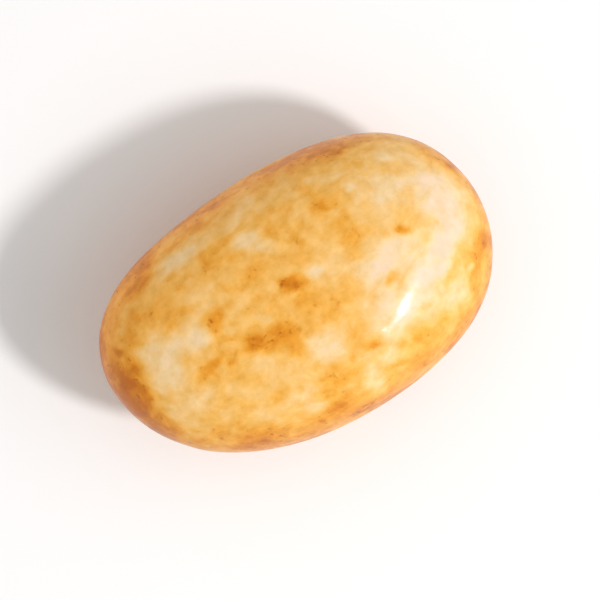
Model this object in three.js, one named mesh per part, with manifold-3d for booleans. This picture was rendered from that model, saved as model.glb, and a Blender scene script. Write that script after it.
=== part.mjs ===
// A chocolate-covered almond: a kernel rolled in chocolate until the coat is smooth and round.
// It is one solid, in millimetres with +Z up. It lies on its flatter side with its length along X and
// its blunt end towards +X. The origin is on the ground, under the middle of the outline.
import * as THREE from "three";
import { mergeVertices } from "three/addons/utils/BufferGeometryUtils.js";
import Module from "manifold-3d";

// Driving dimensions, in millimetres
const LENGTH = 29.0;
const WIDTH = 18.7; // at the middle of the length
const THICKNESS = 15.4; // at the middle of the length, before the foot is taken off
const TIP_SHIFT = 1.65; // how far the narrow end's tip stands to the +Y side of the long axis
const TIP_LIFT = 0.3; // how far the narrow end's tip stands above the middle of the thickness
const FOOT_DEPTH = 0.1; // how deep the small flat spot that it rests on is cut

// Form, as shares of the local half width and half thickness
const END_FULLNESS = 0.17; // how much fuller than an ellipse both ends are
const BLUNT_END_BIAS = 0.045; // how much fuller the blunt end is than the narrow one
const SHOULDER = 0.04; // how far the section's four corners stand out past an ellipse

// Broad uneven places in the coat. Each is centred where the body faces the direction `towards`. It fades
// over `reach` across the body and over `reach` times `stretch` along it, both on a body of radius 1.
const SWELLS = [
  { name: "ridge along the front shoulder", towards: [0.3, -0.68, 0.67], rise: 0.2, reach: 0.3, stretch: 1.8 },
  { name: "cheek of the blunt end", towards: [0.85, 0.35, 0.4], rise: 0.14, reach: 0.45, stretch: 1.0 },
  { name: "flat on the back flank", towards: [0.1, 0.9, 0.42], rise: -0.16, reach: 0.4, stretch: 1.3 },
  { name: "hollow before the narrow end", towards: [-0.66, -0.5, 0.56], rise: -0.14, reach: 0.36, stretch: 1.0 },
  { name: "fullness on top of the narrow end", towards: [-0.7, 0.25, 0.67], rise: 0.12, reach: 0.4, stretch: 1.0 },
  { name: "bulge low on the front flank", towards: [-0.1, -0.9, -0.42], rise: 0.12, reach: 0.4, stretch: 1.4 },
  { name: "flat low on the back flank", towards: [-0.35, 0.75, -0.55], rise: -0.1, reach: 0.4, stretch: 1.2 },
];

// The icosahedron's faces are each split into this many rows, which makes the facets about 0.8 mm wide
const FACET_ROWS = 16;
const CUTTER_SIZE = 2 * LENGTH;

const coat = new THREE.MeshStandardMaterial({
  name: "marbled_coat",
  color: new THREE.Color().setRGB(0.94, 0.72, 0.42, THREE.SRGBColorSpace),
  roughness: 0.25,
  metalness: 0,
});

// How far off the long axis the body's middle line lies, as a share of the shift at the narrow end's tip
function bendShare(along) {
  return ((1 - along) / 2) ** 4;
}

// The coat's unevenness, in millimetres, where a ball of radius 1 has this surface point
function swellHeight(onBall) {
  let height = 0;
  for (const { towards, rise, reach, stretch } of SWELLS) {
    const offset = new THREE.Vector3(...towards).normalize().sub(onBall);
    offset.x /= stretch;
    height += rise * Math.exp(-offset.lengthSq() / (reach * reach));
  }
  return height;
}

// Carries a surface point of a ball of radius 1 to the almond's surface
function almondPoint(onBall) {
  const { x: along, y: across, z: up } = onBall;
  const fullness = 1 + BLUNT_END_BIAS * along + END_FULLNESS * along * along;
  const corner = 1 + 4 * SHOULDER * (across * up) ** 2;
  const bend = bendShare(along);
  const point = new THREE.Vector3(
    (LENGTH / 2) * along,
    (WIDTH / 2) * across * fullness * corner + TIP_SHIFT * bend,
    (THICKNESS / 2) * up * fullness * corner + TIP_LIFT * bend,
  );
  const outward = new THREE.Vector3(along / LENGTH, across / WIDTH, up / THICKNESS).normalize();
  return point.addScaledVector(outward, swellHeight(onBall));
}

// The whole coated body, with its lowest point FOOT_DEPTH under the ground and its outline centred on the origin
function bodyGeometry() {
  const ball = new THREE.IcosahedronGeometry(1, FACET_ROWS - 1);
  const corners = ball.getAttribute("position");
  for (let i = 0; i < corners.count; i++) {
    const onBall = new THREE.Vector3().fromBufferAttribute(corners, i).normalize();
    corners.setXYZ(i, ...almondPoint(onBall));
  }
  ball.computeBoundingBox();
  const middle = ball.boundingBox.getCenter(new THREE.Vector3());
  ball.translate(-middle.x, -middle.y, -ball.boundingBox.min.z - FOOT_DEPTH);
  return ball;
}

// A closed mesh as a solid that can be cut
function solidOf(wasm, geometry) {
  const bare = new THREE.BufferGeometry().setIndex(geometry.index);
  bare.setAttribute("position", geometry.getAttribute("position"));
  const merged = mergeVertices(bare, 1e-4);
  return new wasm.Manifold(
    new wasm.Mesh({
      numProp: 3,
      vertProperties: merged.getAttribute("position").array,
      triVerts: new Uint32Array(merged.index.array),
    }),
  );
}

// A cut solid as a geometry again
function geometryOf(solid) {
  const { vertProperties, triVerts } = solid.getMesh();
  const geometry = new THREE.BufferGeometry();
  geometry.setAttribute("position", new THREE.BufferAttribute(vertProperties, 3));
  geometry.setIndex(new THREE.BufferAttribute(triVerts, 1));
  geometry.computeVertexNormals();
  return geometry;
}

// The part of the body that stands above the ground, which leaves the flat spot under it
function restingGeometry(wasm) {
  const below = new THREE.BoxGeometry(CUTTER_SIZE, CUTTER_SIZE, CUTTER_SIZE);
  below.translate(0, 0, -CUTTER_SIZE / 2);
  return geometryOf(solidOf(wasm, bodyGeometry()).subtract(solidOf(wasm, below)));
}

const wasm = await Module();
wasm.setup();

const almond = new THREE.Mesh(restingGeometry(wasm), coat);
almond.name = "coated_almond";

const part = new THREE.Group();
part.add(almond);

export default part;
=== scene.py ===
"""The looks of one chocolate-covered almond: a glossy coat marbled in cream and caramel.

All lengths are in metres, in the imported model's own frame: the almond lies along X with its
blunt end towards +X, +Z is up and the floor is at z = 0.
"""

import math

import bpy
import numpy as np
from mathutils import Matrix, Vector, noise


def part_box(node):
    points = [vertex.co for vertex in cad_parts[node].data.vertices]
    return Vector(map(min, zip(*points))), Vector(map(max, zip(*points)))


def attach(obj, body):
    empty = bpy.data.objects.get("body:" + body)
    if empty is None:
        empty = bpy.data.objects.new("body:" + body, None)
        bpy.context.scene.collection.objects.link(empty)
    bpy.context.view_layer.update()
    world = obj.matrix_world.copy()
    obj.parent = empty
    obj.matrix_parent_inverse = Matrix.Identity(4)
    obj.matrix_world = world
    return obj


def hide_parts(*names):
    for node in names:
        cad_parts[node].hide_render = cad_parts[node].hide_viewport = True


bl_info = {
    "name": "Chocolate-covered almond",
    "version": (1, 0, 0),
    "blender": (4, 5, 0),
    "location": "View3D > Sidebar > Almond",
    "description": "Models an almond in a marbled, glossy coat, and the plain stage that shows it",
    "category": "Object",
}

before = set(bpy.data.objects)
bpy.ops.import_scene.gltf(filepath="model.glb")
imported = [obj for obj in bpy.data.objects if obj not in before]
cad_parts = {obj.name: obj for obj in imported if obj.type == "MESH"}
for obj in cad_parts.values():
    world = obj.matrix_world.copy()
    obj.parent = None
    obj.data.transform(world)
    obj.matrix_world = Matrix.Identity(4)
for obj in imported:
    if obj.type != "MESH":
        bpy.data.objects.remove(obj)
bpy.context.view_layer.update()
SOLID = "coated_almond"
SOLID_LOW, SOLID_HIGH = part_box(SOLID)

MM = 0.001

# Marks that show on top of the coat: (tone, x, y, half length, half width, turn), in millimetres
# and degrees. A tone above 0 is browner than the tan ground, and one below 0 is creamier.
BROWN_AND_PAINTED_SHADE_MARKS = [
    # cap of the narrow end
    (0.60, -13.1, 2.3, 1.5, 2.2, 8),
    (0.50, -12.9, -0.6, 1.2, 1.9, 12),
    (0.75, -13.3, 1.3, 0.7, 0.9, 0),
    (0.45, -12.9, 2.9, 0.4, 0.7, -20),
    (0.50, -12.4, 3.7, 0.3, 0.4, 20),
    (0.30, -12.0, 2.2, 0.5, 0.4, 0),
    (0.60, -13.2, -0.4, 0.5, 0.6, 0),
    (0.55, -12.4, 0.1, 0.3, 0.35, 0),
    (0.55, -12.3, -1.6, 0.35, 0.4, 0),
    (0.40, -12.9, -1.9, 0.35, 0.5, 0),
    (0.45, -12.2, -2.8, 0.6, 0.8, 30),
    # back shoulder
    (0.35, -10.8, 4.4, 1.8, 0.9, 18),
    (0.78, -8.8, 7.0, 1.3, 0.7, 20),
    (0.40, -7.3, 7.9, 0.8, 0.4, 10),
    # These two make a band along the back edge that is partly caramel and partly painted shade at
    # that edge
    (0.30, -2.0, 8.4, 2.6, 0.8, 2),
    (0.12, 5.6, 7.9, 3.2, 0.9, -14),
    # crown
    (0.90, -5.6, 2.1, 0.95, 0.75, 30),
    (0.85, 0.1, 1.2, 0.75, 0.5, -40),
    (0.35, 0.5, 0.6, 1.3, 0.8, -40),
    (0.75, -4.2, -0.7, 0.7, 0.6, 0),
    (0.50, -2.6, -1.4, 2.0, 0.9, -12),
    (0.45, -1.9, -2.6, 0.7, 0.7, 0),
    (0.50, -8.0, -0.6, 1.2, 0.5, -8),
    (0.30, -6.2, -0.7, 1.2, 0.6, 0),
    (0.30, -2.1, 3.2, 0.9, 0.7, 0),
    (0.38, 5.5, 2.5, 1.1, 1.4, 0),
    (0.90, 8.4, 0.1, 0.75, 0.42, -45),
    (0.42, 10.2, -0.2, 0.6, 0.4, 0),
    (0.75, 5.9, -2.1, 0.6, 0.38, 0),
    (0.30, 4.7, 5.0, 0.7, 0.7, 0),
    # front shoulder
    (0.60, 2.6, -5.3, 0.45, 0.25, -30),
    (0.22, 5.2, -6.1, 1.3, 0.8, 0),
    (0.34, -1.5, -6.0, 1.0, 1.5, 0),
    (0.30, -2.6, -8.3, 1.7, 0.9, 0),
    (0.30, -5.0, -4.6, 0.8, 0.6, 0),
    (0.25, -3.3, -5.2, 0.5, 0.5, 0),
    (0.26, -8.8, -5.0, 2.6, 1.0, -38),
    (0.25, -7.3, -6.8, 1.3, 0.6, -30),
    # blunt end
    (0.30, 11.3, -4.6, 0.8, 0.7, 40),
    (0.28, 12.6, -3.6, 0.6, 1.6, -28),
    (0.45, 13.8, 2.0, 0.4, 0.6, 0),
]
CREAM_AND_PAINTED_SHEEN_MARKS = [
    # behind the cap of the narrow end
    (-0.72, -10.2, 1.4, 1.6, 2.1, 0),
    (-0.60, -7.8, 1.8, 1.3, 0.7, -12),
    # crown
    (-0.70, -0.6, 5.2, 1.1, 0.8, -25),
    (-0.50, -5.2, 6.8, 2.1, 0.5, 4),
    (-0.70, 0.0, -3.8, 1.5, 1.0, 0),
    (-0.55, 1.9, 1.1, 0.8, 0.6, 0),
    (-0.40, -2.6, 0.1, 0.45, 0.5, 40),
    (-0.40, -5.0, 0.8, 0.5, 0.35, 0),
    (-0.50, 7.0, 4.5, 0.35, 0.3, 0),
    (-0.40, 5.2, 3.7, 0.5, 0.3, 0),
    # blunt end
    # Partly cream and partly painted sheen, where the soft light reflects on the blunt end
    (-1.05, 12.0, 0.6, 1.5, 3.0, -6),
    (-0.40, 13.9, 0.3, 0.9, 4.0, 0),
    (-0.40, 11.4, 5.1, 2.0, 1.3, -40),
    (-0.50, 9.2, 3.2, 1.6, 1.2, 0),
    # The marks from here to the front shoulder lie round the highlight: partly cream and partly
    # painted sheen, a pale glow beside the highlight
    (-0.55, 8.3, -1.9, 1.5, 0.5, 15),
    (-0.50, 7.3, -2.9, 1.2, 0.45, 22),
    (-0.75, 6.6, -0.9, 2.6, 1.2, 8),
    (-1.25, 9.4, -2.8, 2.2, 0.9, 22),
    (-0.40, 8.2, -4.1, 1.5, 0.8, 20),
    # These two lie along the highlight's path: painted highlight that pales its fringe
    (-0.50, 4.6, -3.8, 2.2, 1.2, 20),
    (-0.50, 5.4, -4.7, 2.4, 0.7, 20),
    (-0.45, 7.0, -5.2, 2.6, 1.0, 8),
    # front shoulder
    (-0.45, 3.2, -6.6, 1.1, 0.5, 12),
    (-0.50, 1.3, -7.4, 0.8, 1.0, 0),
    (-0.40, -3.2, -6.7, 0.8, 0.4, -28),
    (-0.30, 9.4, -5.4, 1.4, 0.7, 25),
    (-0.22, 12.3, -5.0, 2.2, 0.5, 45),
    # Painted glint: a pale dot at the middle of the small blister near the blunt end
    (-0.50, 11.2, -4.5, 0.28, 0.28, 0),
    (-0.16, 8.0, -7.3, 3.0, 0.6, 20),
]

# How far from its middle a mark stops being whole, and how far it has faded out, in its half sizes
MARK_WHOLE, MARK_GONE = 0.3, 1.5
# Painted shade on the sides: how much browner the coat is made where it faces sideways, and how far
# up the coat faces where that shade begins and where it is whole, from 1 for straight up to 0 for
# sideways
PAINTED_SIDE_SHADE = 0.8
SIDES_BEGIN, SIDES_WHOLE = 0.74, 0.22
# The tone past which a mark is deep brown all over, and how much of what is past it is held back,
# so that the marbling still shows in it
DEEP_TONE = 0.85
HELD_BACK = 0.6

# Low swells on top that shape the gloss: (height, x, y, half length, half width, turn), in the
# same units
SWELLS = [
    # ridge along the front shoulder
    (0.08, 4.8, -4.7, 5.2, 1.5, 25),
    (0.10, 3.1, -5.4, 1.9, 1.3, -55),
    (-0.06, 9.0, -5.0, 2.4, 1.3, -20),
]


class AlmondForm(bpy.types.PropertyGroup):
    """Sizes of the coat's mesh and of the low relief on it."""

    cage_cuts: bpy.props.IntProperty(
        name="Cage cuts",
        description="Cuts along each edge of the cube that the cage starts from",
        default=31,
        min=7,
        max=31,
    )
    smoothing: bpy.props.IntProperty(
        name="Smoothing",
        description="Rounds of smoothing that take the solid's facets off the cage",
        default=6,
        min=0,
        max=20,
    )
    lump_size: bpy.props.FloatProperty(
        name="Lump size",
        description="How far apart the coat's broad uneven places are",
        default=4.5 * MM,
        subtype="DISTANCE",
        unit="LENGTH",
    )
    lump_depth: bpy.props.FloatProperty(
        name="Lump depth",
        description="Height between the highest and lowest broad uneven places",
        default=0.12 * MM,
        subtype="DISTANCE",
        unit="LENGTH",
    )
    ripple_size: bpy.props.FloatProperty(
        name="Ripple size",
        description="How far apart the small ripples are that make the gloss wavy",
        default=1.5 * MM,
        subtype="DISTANCE",
        unit="LENGTH",
    )
    ripple_depth: bpy.props.FloatProperty(
        name="Ripple depth",
        description="Height between the highest and lowest ripples",
        default=0.022 * MM,
        subtype="DISTANCE",
        unit="LENGTH",
    )
    pimple_count: bpy.props.IntProperty(
        name="Pimples",
        description="Number of tiny bumps where a crumb is coated over",
        default=46,
        min=0,
    )
    pit_count: bpy.props.IntProperty(
        name="Pits",
        description="Number of tiny pits that air has left in the coat",
        default=34,
        min=0,
    )
    fleck_size: bpy.props.FloatProperty(
        name="Pimple size",
        description="Largest radius of a pimple or a pit",
        default=0.42 * MM,
        subtype="DISTANCE",
        unit="LENGTH",
    )
    fleck_height: bpy.props.FloatProperty(
        name="Pimple height",
        description="Height of a pimple and depth of a pit",
        default=0.04 * MM,
        subtype="DISTANCE",
        unit="LENGTH",
    )
    foot_height: bpy.props.FloatProperty(
        name="Foot height",
        description="What lies lower than this is pressed flat on the floor",
        default=0.03 * MM,
        subtype="DISTANCE",
        unit="LENGTH",
    )


def shade(name, description, rgb):
    """A colour that the user can change."""
    return bpy.props.FloatVectorProperty(
        name=name, description=description, subtype="COLOR", size=3, min=0, max=1, default=rgb
    )


class AlmondCoat(bpy.types.PropertyGroup):
    """Colours and gloss of the marbled coat."""

    # Palest is also the colour that the painted sheen round the highlight reaches
    palest: shade("Palest", "The middles of the palest clouds", (0.82, 0.607, 0.425))
    cream: shade("Cream", "The clouds of cream in the marbling", (0.82, 0.585, 0.295))
    pale_tan: shade("Pale tan", "The coat between cream and tan", (0.83, 0.525, 0.20))
    tan: shade("Tan", "The coat's ground colour", (0.825, 0.462, 0.114))
    golden: shade("Golden", "The first shade of the caramel marks", (0.80, 0.385, 0.056))
    caramel: shade("Caramel", "The body of the caramel marks", (0.74, 0.292, 0.020))
    brown: shade("Brown", "The darkest cores of the marks", (0.54, 0.148, 0.002))
    speck: shade("Speck", "The specks in the caramel marks", (0.42, 0.11, 0.002))
    stretch: bpy.props.FloatProperty(
        name="Stretch",
        description="How much longer the marbling is along the almond than across it",
        default=1.25,
        min=1,
    )
    cloud_size: bpy.props.FloatProperty(
        name="Cloud size",
        description="Size of the soft clouds of cream",
        default=3.2 * MM,
        subtype="DISTANCE",
        unit="LENGTH",
    )
    smudge_size: bpy.props.FloatProperty(
        name="Smudge size",
        description="Size of the crisper smudges of caramel",
        default=1.3 * MM,
        subtype="DISTANCE",
        unit="LENGTH",
    )
    speck_size: bpy.props.FloatProperty(
        name="Speck size",
        description="Size of the dark specks in the caramel",
        default=0.45 * MM,
        subtype="DISTANCE",
        unit="LENGTH",
    )


class AlmondStage(bpy.types.PropertyGroup):
    """The floor, lights and camera."""

    floor_size: bpy.props.FloatProperty(
        name="Floor size",
        description="Width of the floor",
        default=4.0,
        subtype="DISTANCE",
        unit="LENGTH",
    )
    frame_width: bpy.props.FloatProperty(
        name="Frame width",
        description="Width of what the camera sees at the almond's middle height",
        default=42 * MM,
        subtype="DISTANCE",
        unit="LENGTH",
    )
    lens: bpy.props.FloatProperty(
        name="Lens", description="Focal length of the camera", default=200, unit="CAMERA"
    )
    picture_turn: bpy.props.FloatProperty(
        name="Picture turn",
        description="How far the almond's length rises to the right of the picture",
        default=math.radians(33),
        subtype="ANGLE",
    )
    key_azimuth: bpy.props.FloatProperty(
        name="Key azimuth",
        description="Where the key light stands, from the right of the picture, upwards",
        default=math.radians(-22),
        subtype="ANGLE",
    )
    key_elevation: bpy.props.FloatProperty(
        name="Key elevation",
        description="How high the key light stands",
        default=math.radians(47),
        subtype="ANGLE",
    )


# ---------------------------------------------------------------- mesh helpers


def pick(obj):
    """Makes obj the only selected object, and the active one."""
    bpy.ops.object.select_all(action="DESELECT")
    obj.select_set(True)
    bpy.context.view_layer.objects.active = obj


def vertex_places(obj):
    """The mesh's points as an array with a row for each."""
    places = np.empty(len(obj.data.vertices) * 3)
    obj.data.vertices.foreach_get("co", places)
    return places.reshape(-1, 3)


def vertex_normals(obj):
    """The mesh's outward directions, a row for each point."""
    normals = np.empty(len(obj.data.vertices) * 3)
    obj.data.vertices.foreach_get("normal", normals)
    return normals.reshape(-1, 3)


def smooth_step(low, high, values):
    """0 up to low, 1 from high on and a smooth rise between. high may be the lower of the two."""
    share = np.clip((values - low) / (high - low), 0, 1)
    return share * share * (3 - 2 * share)


def on_top(obj):
    """1 at the points that face up, 0 at those that face sideways or down, and a rise between."""
    return smooth_step(0.05, 0.35, vertex_normals(obj)[:, 2])


def add_group(obj, name, weights):
    """Adds a vertex group that holds the weights above 0."""
    group = obj.vertex_groups.new(name=name)
    for index in np.flatnonzero(weights > 0):
        group.add([int(index)], float(weights[index]), "REPLACE")


def apply_modifier(obj, kind, **settings):
    """Adds a modifier of this kind, sets it up and applies it."""
    pick(obj)
    bpy.ops.object.modifier_add(type=kind)
    modifier = obj.modifiers[-1]
    for name, value in settings.items():
        setattr(modifier, name, value)
    bpy.ops.object.modifier_apply(modifier=modifier.name)


def cloud_texture(name, size, depth):
    """A noise texture for relief, with features of this size and this many rounds of finer ones."""
    texture = bpy.data.textures.new(name, type="CLOUDS")
    texture.noise_scale = size
    texture.noise_depth = depth
    return texture


# ---------------------------------------------------------------- the almond's mesh


def rounded_cage(form):
    """A cube cut fine, made round and stretched to the solid's size, where the solid is."""
    bpy.ops.object.select_all(action="DESELECT")
    middle = (SOLID_LOW + SOLID_HIGH) / 2
    size = SOLID_HIGH - SOLID_LOW
    bpy.ops.mesh.primitive_cube_add(size=1)
    cage = bpy.context.object
    cage.name = "glazed_almond"
    cage.data.name = "glazed_almond"
    bpy.ops.object.mode_set(mode="EDIT")
    bpy.ops.mesh.select_all(action="SELECT")
    bpy.ops.mesh.subdivide(number_cuts=form.cage_cuts)
    bpy.ops.transform.tosphere(value=1)
    bpy.ops.object.mode_set(mode="OBJECT")
    radius = np.linalg.norm(vertex_places(cage), axis=1).mean()  # of the ball that the cube is now
    bpy.ops.object.mode_set(mode="EDIT")
    bpy.ops.transform.resize(value=size / (2 * radius), center_override=(0, 0, 0))
    bpy.ops.transform.translate(value=middle)
    bpy.ops.object.mode_set(mode="OBJECT")
    return cage


def flecks(places, clear, count, largest, chance):
    """Weights of 1 at the middle of each tiny round fleck, which fade to 0 at its edge."""
    weights = np.zeros(len(places))
    free = np.flatnonzero(clear > 0.5)
    for middle in chance.choice(free, count, replace=False):
        radius = largest * chance.uniform(0.55, 1)
        away = np.linalg.norm(places - places[middle], axis=1) / radius
        lift = chance.uniform(0.4, 1) * np.clip(1 - away**2, 0, 1) ** 2
        weights = np.maximum(weights, lift)
    return weights


def oval_reach(places, x, y, half_length, half_width, turn):
    """How far each place is from the middle of an oval on top, in the oval's half sizes."""
    away = places[:, :2] / MM - (x, y)
    turned = away @ np.array(Matrix.Rotation(math.radians(turn), 2))
    return np.hypot(turned[:, 0] / half_length, turned[:, 1] / half_width)


def add_swells(almond):
    """Raises the low swells on top of the almond and lowers the hollows between them."""
    places = vertex_places(almond)
    top = on_top(almond)
    rise = np.zeros(len(places))
    for height, *oval in SWELLS:
        rise += height * top * np.exp(-oval_reach(places, *oval) ** 2)
    for name, share in [("swells", rise), ("hollows", -rise)]:
        highest = share.max()
        add_group(almond, name, np.clip(share / highest, 0, 1))
        strength = highest * MM if name == "swells" else -highest * MM
        apply_modifier(almond, "DISPLACE", vertex_group=name, strength=strength, mid_level=0)


def add_relief(almond, form):
    """Gives the coat its broad lumps, small ripples, pimples and pits, all clear of the foot."""
    places = vertex_places(almond)
    clear = smooth_step(0.3 * MM, 2.5 * MM, places[:, 2])
    add_group(almond, "clear of the floor", clear)
    chance = np.random.default_rng(7)  # seeded, so that the flecks are the same each time
    pimples = flecks(places, clear, form.pimple_count, form.fleck_size, chance)
    pits = flecks(places, clear, form.pit_count, form.fleck_size, chance)
    add_group(almond, "pimples", pimples)
    add_group(almond, "pits", pits)
    waves = [
        ("Lumps", form.lump_size, 1, form.lump_depth),
        ("Ripples", form.ripple_size, 2, form.ripple_depth),
    ]
    for name, size, depth, strength in waves:
        apply_modifier(
            almond,
            "DISPLACE",
            texture=cloud_texture(name, size, depth),
            texture_coords="LOCAL",
            vertex_group="clear of the floor",
            strength=strength,
            mid_level=0.75,  # more than half way, so that the relief stays in the solid's box
        )
    for group, strength in [("pimples", form.fleck_height), ("pits", -form.fleck_height)]:
        apply_modifier(almond, "DISPLACE", vertex_group=group, strength=strength, mid_level=0)


def press_foot(almond, form):
    """Flattens the lowest part of the coat on to the floor."""
    pick(almond)
    bpy.ops.object.mode_set(mode="EDIT")
    bpy.ops.mesh.select_all(action="DESELECT")
    bpy.ops.object.mode_set(mode="OBJECT")
    almond.data.vertices.foreach_set("select", vertex_places(almond)[:, 2] < form.foot_height)
    bpy.ops.object.mode_set(mode="EDIT")
    bpy.ops.transform.resize(value=(1, 1, 0), center_override=(0, 0, 0))
    bpy.ops.mesh.select_all(action="SELECT")
    bpy.ops.mesh.normals_make_consistent(inside=False)
    bpy.ops.object.mode_set(mode="OBJECT")


def wander(places):
    """A smooth shift along X and Y at each place, which gives what is drawn an uneven edge."""
    shift = np.zeros((len(places), 2))
    apart = Vector((9.2, 5.7, 3.1))  # keeps the shift along Y unlike that along X
    for size, reach in [(2.2 * MM, 0.5 * MM), (0.7 * MM, 0.22 * MM)]:
        for i, place in enumerate(places):
            spot = Vector(place) / size
            shift[i] += reach * np.array([noise.noise(spot), noise.noise(spot + apart)])
    return shift


def paint_marks(almond):
    """Stores on each point how brown or creamy the marks and the painted shade of the sides make
    it, and how free the marbling is.
    """
    places = vertex_places(almond)
    shift = wander(places)
    top = on_top(almond)
    upper = np.flatnonzero(top > 0)
    tone = np.zeros(len(places))
    for strength, x, y, *sizes in BROWN_AND_PAINTED_SHADE_MARKS + CREAM_AND_PAINTED_SHEEN_MARKS:
        # The shift at a mark's own middle is taken off, so that the mark stays at its place
        middle = upper[np.argmin(np.hypot(*(places[upper, :2].T - [[x * MM], [y * MM]])))]
        drawn = places[:, :2] + shift - shift[middle]
        tone += strength * smooth_step(MARK_GONE, MARK_WHOLE, oval_reach(drawn, x, y, *sizes))
    # Painted shade: the coat is made browner where it faces sideways, darker towards its edges
    side_shade = smooth_step(SIDES_BEGIN, SIDES_WHOLE, vertex_normals(almond)[:, 2])
    marks = tone * top + PAINTED_SIDE_SHADE * side_shade
    past_brown = np.maximum(marks - DEEP_TONE, 0)
    values = {"marks": marks - HELD_BACK * past_brown, "free": 1 - top}
    for name, value in values.items():
        attribute = almond.data.attributes.new(name, "FLOAT", "POINT")
        attribute.data.foreach_set("value", value.astype(np.float32))


# ---------------------------------------------------------------- materials


def new_material(name):
    """An empty node material and its tree."""
    material = bpy.data.materials.new(name)
    material.use_nodes = True
    material.node_tree.nodes.clear()
    return material, material.node_tree


def add_node(tree, kind, column, row, label="", inputs=None, **settings):
    """Adds a node at a place in a grid, with its inputs and settings. A socket given is linked."""
    node = tree.nodes.new(kind)
    node.location = (220 * column, -260 * row)
    node.label = label
    for name, value in settings.items():
        setattr(node, name, value)
    for name, value in (inputs or {}).items():
        if isinstance(value, bpy.types.NodeSocket):
            tree.links.new(value, node.inputs[name])
        else:
            node.inputs[name].default_value = value
    return node


def noise_node(tree, column, row, label, vector, size, detail, roughness):
    """The outputs of a noise texture with features of this size, read at a place in millimetres."""
    sockets = {"Vector": vector, "Scale": MM / size, "Detail": detail, "Roughness": roughness}
    return add_node(tree, "ShaderNodeTexNoise", column, row, label, sockets).outputs


def spread(tree, column, row, label, value, low, high, to_low=-1.0, to_high=1.0, way="LINEAR"):
    """Carries a value from one range to another, cut off at its ends."""
    sockets = {
        "Value": value,
        "From Min": low,
        "From Max": high,
        "To Min": to_low,
        "To Max": to_high,
    }
    return add_node(
        tree, "ShaderNodeMapRange", column, row, label, sockets, interpolation_type=way
    ).outputs["Result"]


def combine(tree, column, row, operation, first, second, label=""):
    """One step of arithmetic on two values."""
    return add_node(
        tree, "ShaderNodeMath", column, row, label, {0: first, 1: second}, operation=operation
    ).outputs["Value"]


def ramp(tree, column, row, label, value, stops):
    """A colour ramp through (place, colour) stops."""
    node = add_node(tree, "ShaderNodeValToRGB", column, row, label, {"Fac": value})
    elements = node.color_ramp.elements
    while len(elements) > 1:
        elements.remove(elements[-1])
    elements[0].position = stops[0][0]
    for place, _ in stops[1:]:
        elements.new(place)
    for element, (_, colour) in zip(elements, stops):
        element.color = (*colour, 1)
    return node.outputs["Color"]


def on_vectors(tree, column, row, operation, inputs, label=""):
    """One step of arithmetic on vectors."""
    return add_node(
        tree, "ShaderNodeVectorMath", column, row, label, inputs, operation=operation
    ).outputs["Vector"]


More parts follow.
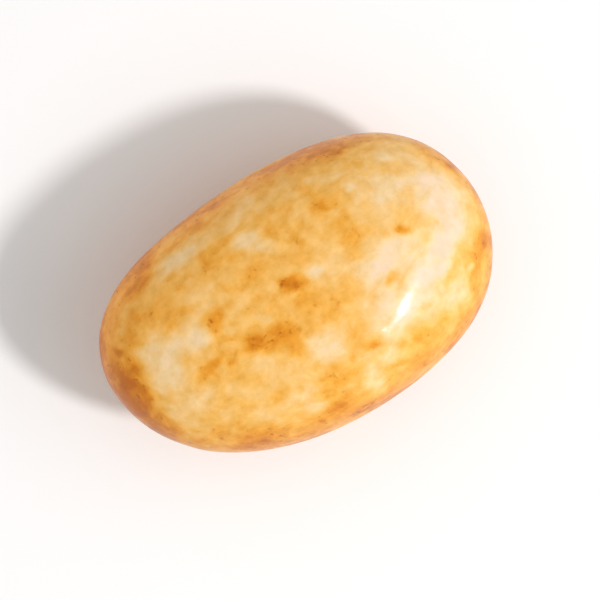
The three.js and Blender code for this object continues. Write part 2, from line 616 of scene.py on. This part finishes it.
def marbled_coat(coat):
    """The glossy coat: cream clouds and caramel smudges on a tan ground, with brown specks."""
    stir_size = 3.4 * MM
    stir_reach = 3.2  # in millimetres
    mottle_size = 0.85 * MM
    peel_size, peel_depth = 0.9 * MM, 0.02 * MM
    material, tree = new_material("marbled coat")
    place = add_node(tree, "ShaderNodeTexCoord", 0, 0).outputs["Object"]
    to_mm = (1 / (MM * coat.stretch), 1 / MM, 1 / MM)
    even = add_node(
        tree, "ShaderNodeMapping", 1, 0, "stretched", {"Vector": place, "Scale": to_mm}
    ).outputs["Vector"]
    fine = on_vectors(tree, 1, 3, "SCALE", {0: place, "Scale": 1 / MM}, "millimetres")

    # The pattern is stirred by shifting the place that it is read at
    stir = noise_node(tree, 2, 1, "stir", even, stir_size, 3, 0.55)["Color"]
    centred = on_vectors(tree, 3, 1, "SUBTRACT", {0: stir, 1: (0.5, 0.5, 0.5)})
    shift = on_vectors(tree, 4, 1, "SCALE", {0: centred, "Scale": stir_reach})
    stirred = on_vectors(tree, 5, 1, "ADD", {0: even, 1: shift}, "stirred")

    # How brown the coat is, from -1 for cream to 1 for brown; the marks attribute also carries the
    # painted shade of the sides and the painted shade and sheen among the listed marks
    marks, free = (
        add_node(tree, "ShaderNodeAttribute", 5, row, name, attribute_name=name).outputs["Fac"]
        for row, name in [(3, "marks"), (4, "free")]
    )
    cloud_fac = noise_node(tree, 6, 0, "clouds", stirred, coat.cloud_size, 4, 0.5)["Fac"]
    clouds = spread(tree, 7, 0, "clouds", cloud_fac, 0.33, 0.67)
    cloud_share = spread(tree, 7, 4, "cloud share", free, 0, 1, 0.28, 0.58)
    smudge_fac = noise_node(tree, 6, 2, "smudges", stirred, coat.smudge_size, 5, 0.55)["Fac"]
    smudges = spread(tree, 7, 2, "smudges", smudge_fac, 0.36, 0.72, -0.36, 0.62)
    smudge_share = spread(tree, 7, 5, "smudge share", free, 0, 1, 0.5, 0.85)
    smudges = combine(tree, 8, 2, "MULTIPLY", smudges, smudge_share)
    tone = combine(tree, 8, 0, "MULTIPLY", clouds, cloud_share)
    tone = combine(tree, 9, 0, "ADD", tone, smudges)
    tone = combine(tree, 10, 0, "ADD", tone, marks, "marks")
    mottle_fac = noise_node(tree, 9, 5, "mottle", fine, mottle_size, 3, 0.55)["Fac"]
    mottle = spread(tree, 10, 5, "mottle", mottle_fac, 0.3, 0.7, -0.14, 0.14)
    tone = combine(tree, 11, 0, "ADD", tone, mottle, "tone")
    share = spread(tree, 12, 0, "tone", tone, -1.5, 1.5, 0, 1, "SMOOTHSTEP")
    stops = [
        (0.04, coat.palest),
        (0.19, coat.cream),
        (0.34, coat.pale_tan),
        (0.50, coat.tan),
        (0.66, coat.golden),
        (0.83, coat.caramel),
        (0.99, coat.brown),
    ]
    marbling = ramp(tree, 13, 0, "marbling", share, stops)

    # Dark specks only where the coat is already browner than its ground
    speck_fac = noise_node(tree, 12, 3, "specks", fine, coat.speck_size, 1.5, 0.5)["Fac"]
    specks = spread(tree, 13, 3, "specks", speck_fac, 0.62, 0.72, 0, 1)
    browner = spread(tree, 13, 4, "browner places", share, 0.58, 0.85, 0, 0.75)
    specks = combine(tree, 14, 3, "MULTIPLY", specks, browner)
    speckled = add_node(
        tree,
        "ShaderNodeMix",
        15,
        0,
        "specks",
        {0: specks, 6: marbling, 7: (*coat.speck, 1)},
        data_type="RGBA",
    ).outputs[2]

    # Fine unevenness of the colour
    brightness = spread(tree, 15, 5, "brightness", mottle_fac, 0.3, 0.7, 1.06, 0.94)
    mottled = add_node(
        tree, "ShaderNodeHueSaturation", 16, 0, "mottle", {"Value": brightness, "Color": speckled}
    ).outputs["Color"]

    # Orange peel in the gloss
    peel = noise_node(tree, 13, 7, "orange peel", fine, peel_size, 3, 0.5)["Fac"]
    sockets = {"Height": peel, "Strength": 0.5, "Distance": peel_depth}
    bump = add_node(tree, "ShaderNodeBump", 14, 7, "orange peel", sockets).outputs["Normal"]
    dullness = spread(tree, 14, 5, "dullness", smudge_fac, 0.35, 0.7, 0.32, 0.4)

    shader = add_node(
        tree,
        "ShaderNodeBsdfPrincipled",
        18,
        0,
        "coat",
        {
            "Base Color": mottled,
            "Roughness": dullness,
            "Normal": bump,
            "Coat Normal": bump,
            "Specular IOR Level": 0.08,
            "Coat Weight": 0.27,
            "Coat Roughness": 0.17,
            "Subsurface Weight": 0.15,
            "Subsurface Radius": (1.0, 0.55, 0.25),
            "Subsurface Scale": 0.8 * MM,
        },
    )
    add_node(tree, "ShaderNodeOutputMaterial", 20, 0, "", {"Surface": shader.outputs["BSDF"]})
    return material


def pale_floor():
    """A plain white floor with a faint unevenness of its own."""
    material, tree = new_material("pale floor")
    place = add_node(tree, "ShaderNodeTexCoord", 0, 0).outputs["Object"]
    grain = add_node(
        tree, "ShaderNodeTexNoise", 1, 0, "grain", {"Vector": place, "Scale": 12.0, "Detail": 2.0}
    ).outputs["Fac"]
    whites = [(0.3, (0.885, 0.885, 0.88)), (0.7, (0.90, 0.90, 0.895))]
    colour = ramp(tree, 2, 0, "white", grain, whites)
    sockets = {"Base Color": colour, "Roughness": 0.9, "Specular IOR Level": 0.1}
    shader = add_node(tree, "ShaderNodeBsdfPrincipled", 4, 0, "floor", sockets)
    add_node(tree, "ShaderNodeOutputMaterial", 6, 0, "", {"Surface": shader.outputs["BSDF"]})
    return material


# ---------------------------------------------------------------- operators


class ALMOND_OT_coated_almond(bpy.types.Operator):
    """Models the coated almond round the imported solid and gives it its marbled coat"""

    bl_idname = "almond.coated_almond"
    bl_label = "Model the coated almond"
    bl_options = {"REGISTER", "UNDO"}

    def execute(self, context):
        form = context.scene.almond_form
        almond = rounded_cage(form)
        apply_modifier(almond, "SHRINKWRAP", target=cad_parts[SOLID])
        apply_modifier(almond, "SMOOTH", factor=0.5, iterations=form.smoothing)
        apply_modifier(almond, "SUBSURF", levels=2, render_levels=2)
        add_swells(almond)
        add_relief(almond, form)
        press_foot(almond, form)
        almond.vertex_groups.clear()
        paint_marks(almond)
        bpy.ops.object.shade_smooth()
        almond.data.materials.append(marbled_coat(context.scene.almond_coat))
        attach(almond, "root")
        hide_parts(SOLID)
        return {"FINISHED"}


def add_lamp(
    name, azimuth, elevation, away, size, watts, colour=(1, 1, 1), lights="body and gloss"
):
    """An unseen area light that faces the almond. lights says what of the coat it shines on."""
    direction = Vector(
        (
            math.cos(azimuth) * math.cos(elevation),
            math.sin(azimuth) * math.cos(elevation),
            math.sin(elevation),
        )
    )
    bpy.ops.object.light_add(type="AREA", location=away * direction)
    lamp = bpy.context.object
    lamp.name = name
    lamp.rotation_euler = direction.to_track_quat("Z", "Y").to_euler()
    lamp.data.shape = "ELLIPSE"
    lamp.data.size, lamp.data.size_y = size
    lamp.data.energy = watts
    lamp.data.color = colour
    lamp.visible_camera = False
    lamp.visible_diffuse = "body" in lights
    lamp.visible_glossy = "gloss" in lights


class ALMOND_OT_stage(bpy.types.Operator):
    """Sets up the floor, the lights and the camera that looks straight down"""

    bl_idname = "almond.stage"
    bl_label = "Set up the stage"
    bl_options = {"REGISTER", "UNDO"}

    def execute(self, context):
        stage = context.scene.almond_stage
        bpy.ops.object.select_all(action="DESELECT")
        bpy.ops.mesh.primitive_plane_add(size=stage.floor_size)
        floor = context.object
        floor.name = "floor"
        floor.data.materials.append(pale_floor())

        # The key shapes the body, and the glint in the same place makes the highlight
        azimuth = stage.key_azimuth - stage.picture_turn
        elevation = stage.key_elevation
        from_key = {"azimuth": azimuth, "elevation": elevation, "away": 0.7, "size": (0.09, 0.09)}
        add_lamp("key", watts=2.95, colour=(1.0, 0.965, 0.97), lights="body", **from_key)
        add_lamp("glint", watts=2.8, colour=(0.84, 0.70, 1.0), lights="gloss", **from_key)
        beside = azimuth + math.radians(14)
        add_lamp("strip", beside, elevation, away=0.6, size=(0.84, 0.09), watts=0.75)
        add_lamp(
            "warm",
            azimuth + math.radians(180),
            math.radians(4),
            away=0.5,
            size=(0.9, 0.06),
            watts=0.8,
            colour=(1.0, 0.72, 0.4),
            lights="body",
        )

        world = bpy.data.worlds.new("soft studio")
        world.use_nodes = True
        background = world.node_tree.nodes["Background"]
        background.inputs["Color"].default_value = (0.975, 0.99, 1.0, 1)
        background.inputs["Strength"].default_value = 0.58
        context.scene.world = world

        middle = (SOLID_LOW + SOLID_HIGH) / 2
        sensor = 36 * MM
        height = stage.frame_width * stage.lens * MM / sensor
        bpy.ops.object.camera_add(location=middle + Vector((0, 0, height)))
        camera = context.object
        camera.name = "camera"
        camera.rotation_euler = (0, 0, -stage.picture_turn)
        camera.data.lens = stage.lens
        camera.data.sensor_width = sensor / MM
        camera.data.clip_start = 0.01
        context.scene.camera = camera
        context.scene.view_settings.view_transform = "Standard"
        return {"FINISHED"}


class ALMOND_PT_sidebar(bpy.types.Panel):
    """The almond's sizes, colours and operators"""

    bl_idname = "ALMOND_PT_sidebar"
    bl_label = "Chocolate-covered almond"
    bl_space_type = "VIEW_3D"
    bl_region_type = "UI"
    bl_category = "Almond"

    def draw(self, context):
        for title, name, operator in [
            ("Form", "almond_form", None),
            ("Coat", "almond_coat", ALMOND_OT_coated_almond.bl_idname),
            ("Stage", "almond_stage", ALMOND_OT_stage.bl_idname),
        ]:
            group = getattr(context.scene, name)
            box = self.layout.box()
            box.label(text=title)
            for key in group.__annotations__:
                box.prop(group, key)
            if operator:
                box.operator(operator)


CLASSES = [
    AlmondForm,
    AlmondCoat,
    AlmondStage,
    ALMOND_OT_coated_almond,
    ALMOND_OT_stage,
    ALMOND_PT_sidebar,
]
GROUPS = {"almond_form": AlmondForm, "almond_coat": AlmondCoat, "almond_stage": AlmondStage}


def register():
    for cls in CLASSES:
        bpy.utils.register_class(cls)
    for name, group in GROUPS.items():
        setattr(bpy.types.Scene, name, bpy.props.PointerProperty(type=group))


def unregister():
    for name in GROUPS:
        delattr(bpy.types.Scene, name)
    for cls in reversed(CLASSES):
        bpy.utils.unregister_class(cls)


def main():
    register()
    bpy.ops.almond.coated_almond()
    bpy.ops.almond.stage()


if __name__ == "__main__":
    main()
